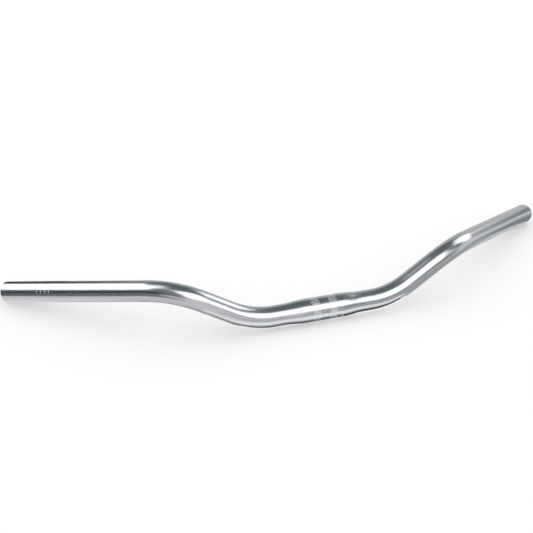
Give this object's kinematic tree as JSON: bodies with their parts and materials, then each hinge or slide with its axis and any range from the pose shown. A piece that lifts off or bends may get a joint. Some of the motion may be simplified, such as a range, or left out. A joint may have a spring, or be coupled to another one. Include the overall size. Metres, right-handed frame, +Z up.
{
  "type": "riser handlebar",
  "caption": "Bicycle riser handlebar: one butted, bent aluminium tube with a thicker clamp zone in the middle and open grip ends that sweep back.",
  "frame": {"origin": "middle of the clamp zone, on the tube's axis", "axes": "+X along the clamp zone towards one end, +Y the way the grips sweep back, +Z up, with the bar lying at rest on a flat surface"},
  "size_m": [0.6388, 0.151, 0.06],
  "materials": {
    "anodised_aluminium": "satin clear anodised"
  },
  "bodies": {
    "root": {"handlebar": "anodised_aluminium"}
  },
  "joints": []
}
